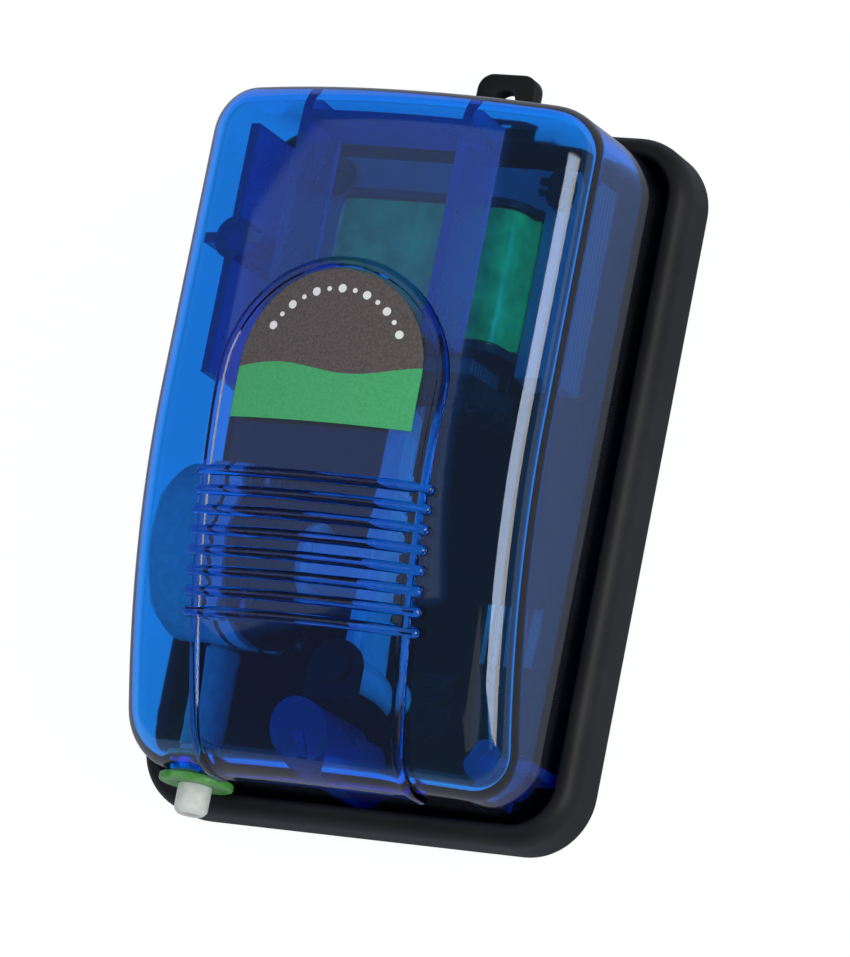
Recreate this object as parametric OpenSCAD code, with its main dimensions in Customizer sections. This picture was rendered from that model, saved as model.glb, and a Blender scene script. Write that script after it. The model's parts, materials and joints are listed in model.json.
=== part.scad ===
/* Small single-outlet aquarium air pump: clear cover on a rubber base, with a swing-arm
   diaphragm pump inside. Lies flat, +Z up, length along Y, outlet at -Y, hanging tab at +Y. */

/* [Case] */
// Length of the rubber base
base_len = 105; // [102:1:110]
// Width of the rubber base
base_w = 69; // [68.6:0.2:74]
// Corner radius of the base
base_r = 9.5; // [8:0.5:12]
// Height of the lip that grips the cover
lip_h = 9; // [7:0.5:9.4]
// How far the crest of the lip stands in from the side
lip_in = 2.24; // [1.8:0.1:2.5]
// Underside recess
recess = 0.8; // [0.4:0.1:1.2]
// Top of the rubber floor
floor_top = 3; // [2.8:0.1:3]

/* [Cover] */
// Wall of the clear cover
wall = 1.8; // [1.4:0.1:2.2]
// Top of the cover at its middle, without the pad
cover_top = 40; // [39:0.5:44]
// Rounding between top and walls
fillet = 5.5; // [4:0.5:7]
// Radius of the crown across the width
crown_r = 90; // [80:5:160]
// Where the top starts to fall towards the outlet
fall_y = 4; // [0:1:8]
// Radius of that fall
fall_r = 108; // [100:4:160]
// Corner radius of the cover in plan
cover_r = 7.5; // [6.5:0.5:9]

/* [Pad and grip] */
// Radius of the arch of the raised pad
pad_r = 18; // [17:0.5:19]
// Height of the pad's rim over the cover
pad_h = 1; // [0.8:0.1:1.4]
// Number of grip ribs
grips = 8; // [6:1:8]
// Distance from one grip rib to the next
grip_pitch = 2.78; // [2.4:0.02:3]
// Half thickness of a grip rib
grip_r = 0.8; // [0.6:0.05:0.9]
// Radius of the label
label_r = 14.2; // [13:0.2:15]

/* [Outlet and tab] */
// Outside radius of the outlet nozzle
nozzle_r = 2.45; // [2.2:0.05:2.45]
// Length of nozzle outside the grommet
nozzle_out = 4.3; // [3:0.1:6]
// Radius of the hole in the hanging tab
tab_hole_r = 1.8; // [1.4:0.1:2.2]
// Bore of the cord inlet
cord_r = 1.9; // [1.5:0.1:2.2]

/* [Motor and pump] */
// Thickness of the laminated core
stack = 9; // [7:1:9]
// Number of laminations drawn
sheets = 9; // [6:1:9]
// Width of the middle leg of the core
leg_w = 18; // [16:0.5:18]
// Radius of the pump chamber
chamber_r = 12.8; // [12:0.2:12.8]
// Radius of the pivot pin
pin_r = 1.5; // [1.2:0.1:1.6]
// Running clearance on the pivot pin
run = 0.06; // [0.03:0.01:0.09]

/* [Hidden] */
$fn = 48;
row_y = -4;
foot_a = base_w / 2 - 3.3;
foot_b = base_len / 2 - 3.3;
draft = 0.5;
top_in = draft + fillet;
nozzle_x = -21;
nozzle_z = 15;
plate_top = 5;
core_x = 3;
core_z = 16;
core_lo = core_z - stack / 2;
core_hi = core_z + stack / 2;
pump_y = -17;
pump_z = 18;
pivot_y = -33;
screw_at = [[0.5, -43], [22.5, -42], [-21, 25]];
core_screw_at = [[core_x - 17.8, 39.5], [core_x + 17.8, 39.5]];
ear_r = chamber_r + 0.1;

// ---- plan outlines ----
module rounded(a, b, r) {
  hull_a = a - r;
  hull_b = b - r;
  square([2 * a, 2 * hull_b], center = true);
  square([2 * hull_a, 2 * b], center = true);
  for (sx = [-1, 1], sy = [-1, 1])
    translate([sx * hull_a, sy * hull_b])
      circle(r);
}

module row() {
  translate([0, row_y, 0])
    children();
}

// ---- rubber base ----
// section of the side: u runs inwards from the outside face
lip_section = concat(
  [[0, 0.8], [0, lip_h - 3.2]],
  [for (t = [15:15:75]) [lip_in * (1 - cos(t)), lip_h - 3.2 + 3.2 * sin(t)]],
  [[lip_in, lip_h], [lip_in + 0.5, lip_h - 0.1], [lip_in + 0.9, lip_h - 0.9],
   [lip_in + 0.9, floor_top - 0.4], [3.4, floor_top - 0.4], [3.4, 0], [0.6, 0]]
);

module lip_corner() {
  rotate_extrude(angle = 90)
    polygon([for (p = lip_section) [base_r - p[0], p[1]]]);
}

module lip_run(len) {
  rotate([90, 0, 0])
    linear_extrude(height = len, center = true)
      polygon([for (p = lip_section) [-p[0], p[1]]]);
}

module hang_tab() {
  z0 = 0.2;
  t = floor_top - z0;
  difference() {
    union() {
      translate([-4.8, base_len / 2 - 2, z0])
        cube([9.6, 9.2, t]);
      translate([-2.4, base_len / 2, z0])
        cube([4.8, 9.7, t]);
      for (s = [-1, 1])
        translate([s * 2.4, base_len / 2 + 7.2, z0])
          cylinder(h = t, r = 2.4);
      // flared root
      linear_extrude(height = t + z0)
        polygon([[-6.4, base_len / 2 - 0.5], [-4.8, base_len / 2 + 2.2],
                 [4.8, base_len / 2 + 2.2], [6.4, base_len / 2 - 0.5]]);
    }
    translate([0, base_len / 2 + 5.3, -1])
      cylinder(h = 6, r = tab_hole_r);
    translate([-10, base_len / 2 + 2.3, -1])
      cube([20, 10, 1.2]);
  }
}

module rubber_base() {
  ca = base_w / 2 - base_r;
  cb = base_len / 2 - base_r;
  color("#2b2b2d")
    row() {
      difference() {
        union() {
          for (k = [0:3])
            translate([k == 0 || k == 3 ? ca : -ca, k < 2 ? cb : -cb, 0])
              rotate([0, 0, 90 * k])
                lip_corner();
          translate([base_w / 2, 0, 0])
            lip_run(2 * cb);
          translate([-base_w / 2, 0, 0])
            rotate([0, 0, 180])
              lip_run(2 * cb);
          translate([0, base_len / 2, 0])
            rotate([0, 0, 90])
              lip_run(2 * ca);
          translate([0, -base_len / 2, 0])
            rotate([0, 0, -90])
              lip_run(2 * ca);
          translate([0, 0, recess])
            linear_extrude(height = floor_top - recess)
              rounded(base_w / 2 - 3.2, base_len / 2 - 3.2, base_r - 3.2);
          for (sx = [-1, 1], sy = [-1, 1])
            translate([sx * 24, sy * 42, 0])
              cylinder(h = 2, r = 5);
          hang_tab();
        }
        for (p = screw_at)
          translate([p[0], p[1], -1])
            cylinder(h = 6, r = 3.1);
        translate([18, -22, -1])
          cylinder(h = 6, r = 5);
      }
    }
}

// ---- base plate ----
module base_plate() {
  color("#1d1f24")
    row()
      difference() {
        union() {
          translate([0, 0, floor_top])
            linear_extrude(height = plate_top - floor_top)
              rounded(foot_a - wall - 0.4, foot_b - wall - 0.4, cover_r - wall - 0.4);
          for (p = core_screw_at)
            translate([p[0], p[1], floor_top])
              cylinder(h = core_lo - floor_top, r = 3.4);
          for (s = [-1, 1])
            translate([core_x + s * 17.8, 15, floor_top])
              cylinder(h = core_lo - floor_top, r = 2.7);
          for (s = [-1, 1])
            translate([-27, pump_y + s * 7.6 - 0.8, floor_top])
              cube([5, 1.6, 5]);
          translate([18, -22, floor_top])
            cylinder(h = 3.4, r = 8.4);
        }
        for (p = screw_at)
          translate([p[0], p[1], 0])
            cylinder(h = 8, r = 1.6);
        for (p = core_screw_at)
          translate([p[0], p[1], 6])
            cylinder(h = 20, r = 1.6);
        for (s = [-1, 1])
          translate([core_x + s * 6.5, -31, floor_top + 0.3])
            cylinder(h = 10, r = 1.2);
        // seat and grille of the intake
        translate([18, -22, 0])
          cylinder(h = 5, r = 7.2);
        for (k = [-1:1])
          translate([18 + 3.4 * k - 1, -22 - 4.5, 0])
            cube([2, 9, 9]);
        // round hollow under the chamber
        translate([-40, pump_y, pump_z])
          rotate([0, 90, 0])
            cylinder(h = 60, r = chamber_r + 0.05);
      }
}

// ---- clear cover ----
function top_z(x, y) =
  cover_top - x * x / (2 * crown_r) - pow(max(0, fall_y - y), 2) / (2 * fall_r);

// half outline, x >= 0, from the outlet end round to the tab end
function half_line(a, b, r) = concat(
  [for (k = [0:4]) [(a - r) * k / 5, -b]],
  [for (k = [0:5]) [a - r + r * sin(18 * k), -b + r - r * cos(18 * k)]],
  [for (k = [1:11]) [a, -b + r + (2 * b - 2 * r) * k / 12]],
  [for (k = [0:5]) [a - r + r * cos(18 * k), b - r + r * sin(18 * k)]],
  [for (k = [1:5]) [(a - r) * (5 - k) / 5, b]]
);

function full_line(h) = concat(
  h,
  [for (k = [len(h) - 2:-1:1]) [-h[k][0], h[k][1]]]
);

function ring_at(a, b, r, d) = full_line(half_line(a - d, b - d, max(0.6, r - d)));

// one skin of the cover, t inside the outer face
function skin_points(t) =
  let (a = foot_a - t, b = foot_b - t, r = cover_r - t, f = fillet - t, n = 5, c = 5)
  concat(
    [for (p = ring_at(a, b, r, 0)) [p[0], p[1], floor_top]],
    [for (k = [0:n])
      let (q = 90 * k / n, d = draft + f * (1 - cos(q)))
      for (p = ring_at(a, b, r, d)) [p[0], p[1], top_z(p[0], p[1]) - t - f * (1 - sin(q))]],
    [for (k = [1:c])
      let (d = draft + f + (a - draft - f - 1.5) * k / c)
      for (p = ring_at(a, b, r, d)) [p[0], p[1], top_z(p[0], p[1]) - t]]
  );

n_half = len(half_line(30, 50, 7)) - 1;
n_ring = 2 * n_half;
n_rows = 12;

function band(o, out) = [
  for (j = [0:n_rows - 2], i = [0:n_ring - 1])
    let (p = o + j * n_ring + i, q = o + j * n_ring + (i + 1) % n_ring)
    for (tri = [[p, p + n_ring, q], [q, p + n_ring, q + n_ring]])
      out ? tri : [tri[2], tri[1], tri[0]]
];

function lid(o, out) =
  let (s = o + (n_rows - 1) * n_ring)
  concat(
    [out ? [s, s + n_ring - 1, s + 1] : [s + 1, s + n_ring - 1, s]],
    [for (i = [1:n_half - 2])
      for (tri = [[s + i, s + n_ring - i, s + n_ring - i - 1],
                  [s + i, s + n_ring - i - 1, s + i + 1]])
        out ? tri : [tri[2], tri[1], tri[0]]],
    [out ? [s + n_half - 1, s + n_half + 1, s + n_half]
         : [s + n_half, s + n_half + 1, s + n_half - 1]]
  );

module skin_solid(t) {
  c = n_rows * n_ring;
  polyhedron(
    points = concat(skin_points(t), [[0, 0, floor_top]]),
    faces = concat(
      band(0, true), lid(0, true),
      [for (i = [0:n_ring - 1]) [i, (i + 1) % n_ring, c]]
    ),
    convexity = 6
  );
}

module skin_shell() {
  n = n_rows * n_ring;
  polyhedron(
    points = concat(skin_points(0), skin_points(wall)),
    faces = concat(
      band(0, true), lid(0, true), band(n, false), lid(n, false),
      [for (i = [0:n_ring - 1])
        let (p = i, q = (i + 1) % n_ring)
        for (tri = [[p, q, n + p], [q, n + q, n + p]]) tri]
    ),
    convexity = 8
  );
}

// point h above the cover: s runs down the roof, round the outlet-end edge and down the wall
end_s = -(foot_b - draft - fillet);
turn_s = fillet * PI / 2;

function on_roof(x, s, h) =
  s >= end_s
    ? [x, s, top_z(x, s) + h]
    : let (q = min(90, (end_s - s) / turn_s * 90),
           y = end_s - fillet * sin(q),
           low = max(0, end_s - s - turn_s))
      [x, y - h * sin(q), top_z(x, y) - fillet * (1 - cos(q)) - low + h * cos(q)];

// arch-topped patch on the roof between two heights
module arch_patch(r, yc, runs, slim, lo, hi) {
  m = 11;
  w = 6;
  foot = runs[len(runs) - 1];
  rows = concat(
    [for (k = [0:m]) let (q = 84 - 84 * k / m) [yc + r * sin(q), r * cos(q)]],
    [for (s = runs) [s, r - slim * (yc - s) / (yc - foot)]]
  );
  nr = len(rows);
  pts = [for (h = [hi, lo], v = rows, k = [0:w]) on_roof(v[1] * (2 * k / w - 1), v[0], h)];
  o = nr * (w + 1);
  faces = concat(
    [for (j = [0:nr - 2], k = [0:w - 1])
      let (p = j * (w + 1) + k)
      for (tri = [[p, p + 1, p + w + 1], [p + 1, p + w + 2, p + w + 1]]) tri],
    [for (j = [0:nr - 2], k = [0:w - 1])
      let (p = o + j * (w + 1) + k)
      for (tri = [[p, p + w + 1, p + 1], [p + 1, p + w + 1, p + w + 2]]) tri],
    [for (k = [0:w - 1])
      for (tri = [[k, o + k, k + 1], [k + 1, o + k, o + k + 1]]) tri],
    [for (k = [0:w - 1])
      let (p = (nr - 1) * (w + 1) + k)
      for (tri = [[p, p + 1, o + p], [p + 1, o + p + 1, o + p]]) tri],
    [for (j = [0:nr - 2])
      let (p = j * (w + 1))
      for (tri = [[p, p + w + 1, o + p], [p + w + 1, o + p + w + 1, o + p]]) tri],
    [for (j = [0:nr - 2])
      let (p = j * (w + 1) + w)
      for (tri = [[p, o + p, p + w + 1], [p + w + 1, o + p, o + p + w + 1]]) tri]
  );
  polyhedron(points = pts, faces = faces, convexity = 4);
}

function pad_runs(past) = concat(
  [for (k = [1:9]) 4.3 + (end_s - 4.3) * k / 9],
  [for (k = [1:5]) end_s - turn_s * k / 5],
  [end_s - turn_s - past]
);

module grip(y) {
  rr = crown_r + 0.4;
  reach = asin((pad_r - 0.1) / rr);
  translate([0, y, top_z(0, y) - crown_r]) {
    rotate([90, 0, 0])
      rotate([0, 0, 90 - reach])
        rotate_extrude(angle = 2 * reach)
          translate([rr, 0])
            circle(grip_r);
    for (s = [-1, 1])
      translate([s * rr * sin(reach), 0, rr * cos(reach)])
        sphere(grip_r);
  }
}

module inner_ribs() {
  // long rib and the crossed screw post on it
  translate([-21.75, 5, 24])
    cube([1.5, 37, 20]);
  translate([-26, 24.25, 21])
    cube([10, 1.5, 20]);
  translate([-21, 25, plate_top + 0.1])
    cylinder(h = 36, r = 3.1);
  // frame that holds the coil down
  for (x = [-12.5, 12.5])
    translate([x - 0.75, 13, 26.8])
      cube([1.5, 35.4, 16]);
  translate([-12.5, 42.5, 26.8])
    cube([25, 1.5, 16]);
  // post at the outlet end with its web
  translate([0.5, -43, plate_top + 0.1])
    cylinder(h = 30, r = 4.5);
  translate([-0.2, -50, plate_top + 0.1])
    cube([1.4, 7, 26]);
  // corner post with two webs
  translate([22.5, -42, plate_top + 0.1])
    cylinder(h = 9, r = 3.3);
  translate([22.5, -42.7, plate_top + 0.1])
    cube([9, 1.4, 9]);
  translate([21.8, -50, plate_top + 0.1])
    cube([1.4, 8, 9]);
}

module cover() {
  color("#0a50c8", 0.5)
    row()
      difference() {
        union() {
          skin_shell();
          intersection() {
            skin_solid(wall / 2);
            inner_ribs();
          }
          difference() {
            arch_patch(pad_r, 4.3, pad_runs(3), 1.6, -0.8, pad_h);
            arch_patch(pad_r - 1.6, 4.3, pad_runs(4), 1.6, pad_h - 0.4, pad_h + 1);
          }
          for (k = [0:grips - 1])
            grip(-9.5 - grip_pitch * k);
        }
        for (p = [[0.5, -43, 1.4], [22.5, -42, 1.4]])
          translate([p[0], p[1], 0])
            cylinder(h = p[0] < 10 ? 15 : 12.7, r = p[2]);
        translate([-21, 25, 0])
          cylinder(h = 15, r = 1.4);
        translate([nozzle_x, -40, nozzle_z])
          rotate([90, 0, 0])
            cylinder(h = 20, r = 4);
        // flat seats for the two flanges of the grommet
        along_y(-49.1)
          cylinder(h = 6, r = 5.5);
        along_y(-44)
          cylinder(h = 2.9, r = 4.75);
        translate([-8, 60, nozzle_z])
          rotate([90, 0, 0])
            cylinder(h = 20, r = 3.45);
      }
}

module label() {
  color("#5d5350")
    row()
      arch_patch(label_r, 6.2, [for (k = [1:4]) 6.2 - 8.1 * k / 4], 0, pad_h - 0.34, pad_h - 0.18);
}

// ---- outlet ----
module along_y(y) {
  translate([nozzle_x, y, nozzle_z])
    rotate([90, 0, 0])
      children();
}

module outlet_grommet() {
  color("#4f9a3c")
    row()
      difference() {
        union() {
          along_y(-49.15)
            cylinder(h = 1.05, r = 5.4);
          along_y(-46.8)
            cylinder(h = 2.4, r = 3.95);
          along_y(-45.8)
            cylinder(h = 1.05, r = 4.6);
        }
        along_y(-40)
          cylinder(h = 15, r = 2.05);
      }
}

module outlet_nozzle() {
  color("#c5c9c3")
    row()
      difference() {
        union() {
          along_y(-50.2)
            cylinder(h = nozzle_out - 0.8, r = nozzle_r);
          along_y(-50.2 - nozzle_out + 0.8)
            cylinder(h = 0.8, r1 = nozzle_r, r2 = nozzle_r - 0.6);
          along_y(-44.6)
            cylinder(h = 6, r = 2);
          along_y(-40)
            cylinder(h = 5, r = 2);
          along_y(-44.7)
            cylinder(h = 1, r = 2.9);
        }
        along_y(-38)
          cylinder(h = 20, r = 1.2);
      }
}

module outlet_hose() {
  color("#d9dcd6")
    row()
      along_y(-30.2)
        difference() {
          cylinder(h = 14.3, r = 3.1);
          translate([0, 0, -1])
            cylinder(h = 16, r = 2.03);
        }
}

module cord_grommet() {
  color("#202124")
    row()
      translate([-8, 50.4, nozzle_z])
        rotate([90, 0, 0])
          difference() {
            union() {
              cylinder(h = 1.3, r = 4.5);
              cylinder(h = 4.6, r = 3.4);
              translate([0, 0, 3.4])
                cylinder(h = 1.2, r = 4.2);
            }
            translate([0, 0, -1])
              cylinder(h = 7, r = cord_r);
          }
}

module case_screws() {
  color("#b9bcc0")
    row()
      for (p = screw_at)
        translate([p[0], p[1], 0])
          difference() {
            union() {
              translate([0, 0, 1.2])
                cylinder(h = 1.8, r = 2.6);
              translate([0, 0, 3])
                cylinder(h = 9.5, r = 1.35);
            }
            for (q = [0, 90])
              rotate([0, 0, q])
                translate([-1.7, -0.3, 0.5])
                  cube([3.4, 0.6, 1.5]);
          }
}

module intake_felt() {
  color("#d8d4c8")
    row()
      translate([18, -22, floor_top + 0.1])
        cylinder(h = 1.85, r = 7);
}

// ---- motor ----
module e_sheet() {
  difference() {
    translate([core_x - 20.8, 12])
      square([41.6, 30.5]);
    for (s = [-1, 1])
      translate([core_x + s * (leg_w / 2 + 2.9) - 2.9, 11])
        square([5.8, 25.6]);
    for (p = core_screw_at)
      translate([p[0], p[1]])
        circle(1.75);
  }
}

module core_laminations() {
  pitch = stack / sheets;
  color("#55575a")
    row()
      for (k = [0:sheets - 1])
        translate([0, 0, core_lo + k * pitch])
          linear_extrude(height = pitch - 0.06)
            e_sheet();
}

module core_screws() {
  color("#b9bcc0")
    row()
      for (p = core_screw_at)
        translate([p[0], p[1], 0])
          difference() {
            union() {
              translate([0, 0, core_hi])
                cylinder(h = 1.9, r = 3);
              translate([0, 0, 6.2])
                cylinder(h = core_hi - 6.2, r = 1.55);
            }
            translate([-4, -0.4, core_hi + 1.1])
              cube([8, 0.8, 2]);
          }
}

// square tube along Y round the middle leg, g0 to g1 outside the leg
module leg_tube(y0, y1, g0, g1) {
  translate([core_x, y1, core_z])
    rotate([90, 0, 0])
      linear_extrude(height = y1 - y0)
        difference() {
          rounded(leg_w / 2 + g1, stack / 2 + g1, max(0.6, g1 * 0.7));
          square([leg_w + 2 * g0, stack + 2 * g0], center = true);
        }
}

module coil_bobbin() {
  color("#2c2e33")
    row() {
      leg_tube(14, 36.4, 0.1, 1.1);
      leg_tube(14, 15.1, 0.1, 5.6);
      leg_tube(35.3, 36.4, 0.1, 5.6);
    }
}

module coil_winding() {
  color("#a35a2a")
    row()
      leg_tube(15.2, 35.2, 1.15, 5.1);
}

module coil_tape() {
  color("#00593b")
    row()
      translate([core_x, 35, core_z])
        rotate([90, 0, 0])
          linear_extrude(height = 19.6)
            difference() {
              rounded(leg_w / 2 + 5.6, stack / 2 + 5.6, 4);
              rounded(leg_w / 2 + 5.15, stack / 2 + 5.15, 3.6);
            }
}

// ---- swing arm ----
module swing_arm() {
  color("#e3e1d8")
    row()
      difference() {
        union() {
          translate([core_x, pivot_y, 6.6])
            cylinder(h = 17.8, r = 2.9);
          translate([core_x - 1.5, pivot_y, 12])
            cube([3, 6.3 - pivot_y, 9]);
          translate([-6.4, pump_y - 3.5, pump_z - 3.5])
            cube([9.4, 7, 7]);
          // brace from hub to web
          translate([core_x - 0.6, pivot_y + 2, 8])
            cube([1.2, 7, 15]);
        }
        translate([core_x, pivot_y, 0])
          cylinder(h = 40, r = pin_r + run);
        for (s = [-1, 1])
          translate([core_x + s * 1.6 - 0.7, -11, 13.5])
            cube([1.4, 14, 6]);
        translate([-10, pump_y, pump_z])
          rotate([0, 90, 0])
            cylinder(h = 9.5, r = 1.3);
      }
}

module magnet_yoke() {
  color("#8b8f94")
    row()
      translate([core_x - 12.5, 6.3, core_z - 4.5])
        cube([25, 1.5, 9]);
}

module arm_magnets() {
  color("#3a3a3c")
    row()
      for (s = [-1, 1])
        translate([core_x + s * 6.4 - 5.1, 7.8, core_z - 4])
          cube([10.2, 3, 8]);
}

module pivot_bracket() {
  color("#aeb2b6")
    row()
      difference() {
        union() {
          translate([core_x - 9, -37.5, plate_top])
            cube([18, 9, 1.2]);
          translate([core_x - 4, -37.5, plate_top])
            cube([8, 1.2, 21]);
          translate([core_x - 4, -37.5, plate_top + 19.8])
            cube([8, 5, 1.2]);
          translate([core_x, pivot_y, plate_top + 19.8])
            cylinder(h = 1.2, r = 4);
        }
        translate([core_x, pivot_y, 0])
          cylinder(h = 40, r = pin_r + 0.03);
        for (s = [-1, 1])
          translate([core_x + s * 6.5, -31, 0])
            cylinder(h = 10, r = 1.4);
      }
}

module bracket_screws() {
  color("#b9bcc0")
    row()
      for (s = [-1, 1])
        translate([core_x + s * 6.5, -31, plate_top])
          difference() {
            union() {
              translate([0, 0, 1.2])
                cylinder(h = 1.4, r = 2.1);
              translate([0, 0, -1.6])
                cylinder(h = 2.8, r = 1.15);
            }
            translate([-3, -0.3, 1.9])
              cube([6, 0.6, 2]);
          }
}

module pivot_pin() {
  color("#d4d6d8")
    row()
      translate([core_x, pivot_y, plate_top + 0.1]) {
        cylinder(h = 21.2, r = pin_r);
        translate([0, 0, 20.95])
          cylinder(h = 0.9, r = 2.3);
      }
}

// ---- pump chamber: everything is turned about one axis along X ----
module along_x(x) {
  translate([x, pump_y, pump_z])
    rotate([0, 90, 0])
      children();
}

// round flange with four screw ears, drawn flat and thickened
module flange(h, bore, hole) {
  linear_extrude(height = h)
    difference() {
      union() {
        circle(chamber_r);
        for (q = [45:90:315])
          rotate(q)
            translate([ear_r, 0])
              circle(2.3);
      }
      if (bore > 0)
        circle(bore);
      for (q = [45:90:315])
        rotate(q)
          translate([ear_r, 0])
            circle(hole);
    }
}

module valve_box() {
  color("#17181b")
    row()
      difference() {
        union() {
          along_x(-28.5)
            difference() {
              union() {
                cylinder(h = 1.6, r1 = chamber_r - 1.7, r2 = chamber_r - 0.15);
                translate([0, 0, 1.6])
                  cylinder(h = 6.4, r = chamber_r - 0.15);
              }
              translate([0, 0, 1.5])
                cylinder(h = 8, r = chamber_r - 1.6);
            }
          along_x(-21.5)
            flange(3.5, chamber_r - 1.8, 0.9);
          // wall between inlet and outlet halves
          translate([-27.5, pump_y - 11.8, pump_z - 0.7])
            cube([9.3, 23.6, 1.4]);
          along_y(-28.3)
            cylinder(h = 6.5, r = 2);
        }
        along_y(-25)
          cylinder(h = 20, r = 1.2);
        translate([-22, pump_y + 16, pump_z + 4.5])
          rotate([90, 0, 0])
            cylinder(h = 10, r = 1.5);
      }
}

module valve_gasket() {
  color("#3b3b3d")
    row()
      along_x(-18)
        flange(0.8, chamber_r - 1.8, 1.1);
}

module valve_plate() {
  color("#e3e1d8")
    row()
      along_x(-17.2)
        difference() {
          flange(2, 0, 1.1);
          for (s = [-1, 1], k = [-1:1])
            translate([s * 5.2, 2.4 * k, -1])
              cylinder(h = 4, r = 0.85);
        }
}

// rubber tongue that hangs from a round hinge edge
module flap(x, z) {
  translate([x, pump_y + 3.6, z])
    rotate([90, 0, 0])
      cylinder(h = 7.2, r = 0.3);
  translate([x - 0.3, pump_y - 3.6, z - 4])
    cube([0.6, 7.2, 4]);
  translate([x - 0.3, pump_y, z - 3.2])
    rotate([0, 90, 0])
      cylinder(h = 0.6, r = 3.6);
}

module inlet_flap() {
  color("#2a2a2c")
    row()
      flap(-14.85, pump_z + 8.6);
}

module outlet_flap() {
  color("#2a2a2c")
    row()
      flap(-17.55, pump_z - 2.1);
}

module diaphragm() {
  color("#1b1b1d")
    row()
      along_x(0)
        rotate_extrude()
          polygon([
            [1.35, -8.5], [6.5, -8.5], [8.1, -9], [9.2, -10.3], [9.6, -12],
            [9.6, -15.2], [11.9, -15.2], [11.9, -13.7], [10.6, -13.7],
            [10.6, -12], [10.1, -9.8], [8.7, -8.1], [6.6, -7.5], [1.35, -7.5]
          ]);
}

module diaphragm_ring() {
  color("#17181b")
    row()
      along_x(-13.7)
        flange(1.6, chamber_r - 2, 1.1);
}

module diaphragm_discs() {
  color("#c9c9c4")
    row()
      for (x = [-9.5, -7.5])
        along_x(x)
          difference() {
            cylinder(h = 1, r = 5.8);
            translate([0, 0, -1])
              cylinder(h = 4, r = 1.3);
          }
}

module diaphragm_screw() {
  color("#b9bcc0")
    row()
      along_x(-11)
        difference() {
          union() {
            cylinder(h = 1.5, r = 2.4);
            cylinder(h = 10, r = 1.25);
          }
          translate([-3, -0.3, -1])
            cube([6, 0.6, 1.7]);
        }
}

module chamber_screws() {
  color("#b9bcc0")
    row()
      along_x(-20.5)
        for (q = [45:90:315])
          rotate([0, 0, q])
            translate([ear_r, 0, 0])
              difference() {
                union() {
                  cylinder(h = 8.4, r = 0.85);
                  translate([0, 0, 8.4])
                    cylinder(h = 1, r = 1.7);
                }
                translate([-3, -0.25, 8.8])
                  cube([6, 0.5, 2]);
              }
}

rubber_base();
base_plate();
cover();
label();
outlet_grommet();
outlet_nozzle();
outlet_hose();
case_screws();
intake_felt();
cord_grommet();
core_laminations();
core_screws();
coil_bobbin();
coil_winding();
coil_tape();
swing_arm();
magnet_yoke();
arm_magnets();
pivot_bracket();
bracket_screws();
pivot_pin();
diaphragm();
diaphragm_discs();
diaphragm_screw();
diaphragm_ring();
valve_box();
valve_gasket();
valve_plate();
inlet_flap();
outlet_flap();
chamber_screws();
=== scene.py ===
import json
import math
import random

import bpy
from mathutils import Matrix, Vector

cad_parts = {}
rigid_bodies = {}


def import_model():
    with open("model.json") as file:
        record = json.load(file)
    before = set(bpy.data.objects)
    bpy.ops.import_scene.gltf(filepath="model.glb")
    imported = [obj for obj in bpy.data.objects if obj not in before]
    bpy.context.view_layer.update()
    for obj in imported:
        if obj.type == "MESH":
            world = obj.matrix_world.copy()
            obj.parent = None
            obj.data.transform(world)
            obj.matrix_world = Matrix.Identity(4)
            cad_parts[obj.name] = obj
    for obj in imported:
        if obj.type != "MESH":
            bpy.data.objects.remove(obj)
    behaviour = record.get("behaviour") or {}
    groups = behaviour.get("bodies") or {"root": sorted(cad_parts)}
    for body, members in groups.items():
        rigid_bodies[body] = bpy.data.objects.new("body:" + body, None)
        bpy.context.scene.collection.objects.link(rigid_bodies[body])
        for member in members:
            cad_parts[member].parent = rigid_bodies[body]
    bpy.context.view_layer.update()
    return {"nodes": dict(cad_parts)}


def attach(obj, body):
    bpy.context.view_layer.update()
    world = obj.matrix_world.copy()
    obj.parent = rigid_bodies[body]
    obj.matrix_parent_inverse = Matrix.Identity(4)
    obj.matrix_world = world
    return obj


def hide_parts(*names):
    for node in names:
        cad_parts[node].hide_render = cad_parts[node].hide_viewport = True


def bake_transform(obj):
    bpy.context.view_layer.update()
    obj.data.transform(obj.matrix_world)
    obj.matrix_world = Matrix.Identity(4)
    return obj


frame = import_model()
scene = bpy.context.scene
scene.view_settings.view_transform = "Standard"


# ---------------------------------------------------------------- view of the pump
# The pump lies on its rubber base and is seen from above its right side, turned so
# that the hanging tab points up and to the right.
camera = bpy.data.objects.new("view", bpy.data.cameras.new("view"))
scene.collection.objects.link(camera)
right = Vector((0.894307, 0.189496, -0.405347))
up = Vector((-0.079164, 0.958613, 0.273486))
back = Vector((0.440396, -0.212491, 0.872295))
turn = Matrix((right, up, back)).transposed().to_4x4()
camera.matrix_world = Matrix.Translation((0.44175, -0.21697, 0.87932)) @ turn
camera.data.lens = 262.45
camera.data.clip_start = 0.05
camera.data.clip_end = 20
scene.camera = camera


# ---------------------------------------------------------------- studio
# A pale table that runs into a white surround. A soft lamp on the right draws the long
# gleam down the cover's edge, and two more light the roof and the outlet end.
def linear(code):
    """sRGB hex to the linear colour that a shader takes."""
    parts = [int(code[k:k + 2], 16) / 255 for k in (1, 3, 5)]
    parts = [c / 12.92 if c <= 0.04045 else ((c + 0.055) / 1.055) ** 2.4 for c in parts]
    return (*parts, 1.0)


def add(owner, kind, sockets=None, links=None, **settings):
    """Adds one node, with its settings, socket values and incoming links."""
    node = owner.node_tree.nodes.new(kind)
    for key, value in settings.items():
        setattr(node, key, value)
    for key, value in (sockets or {}).items():
        node.inputs[key].default_value = value
    for key, (source, output) in (links or {}).items():
        owner.node_tree.links.new(source.outputs[output], node.inputs[key])
    return node


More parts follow.
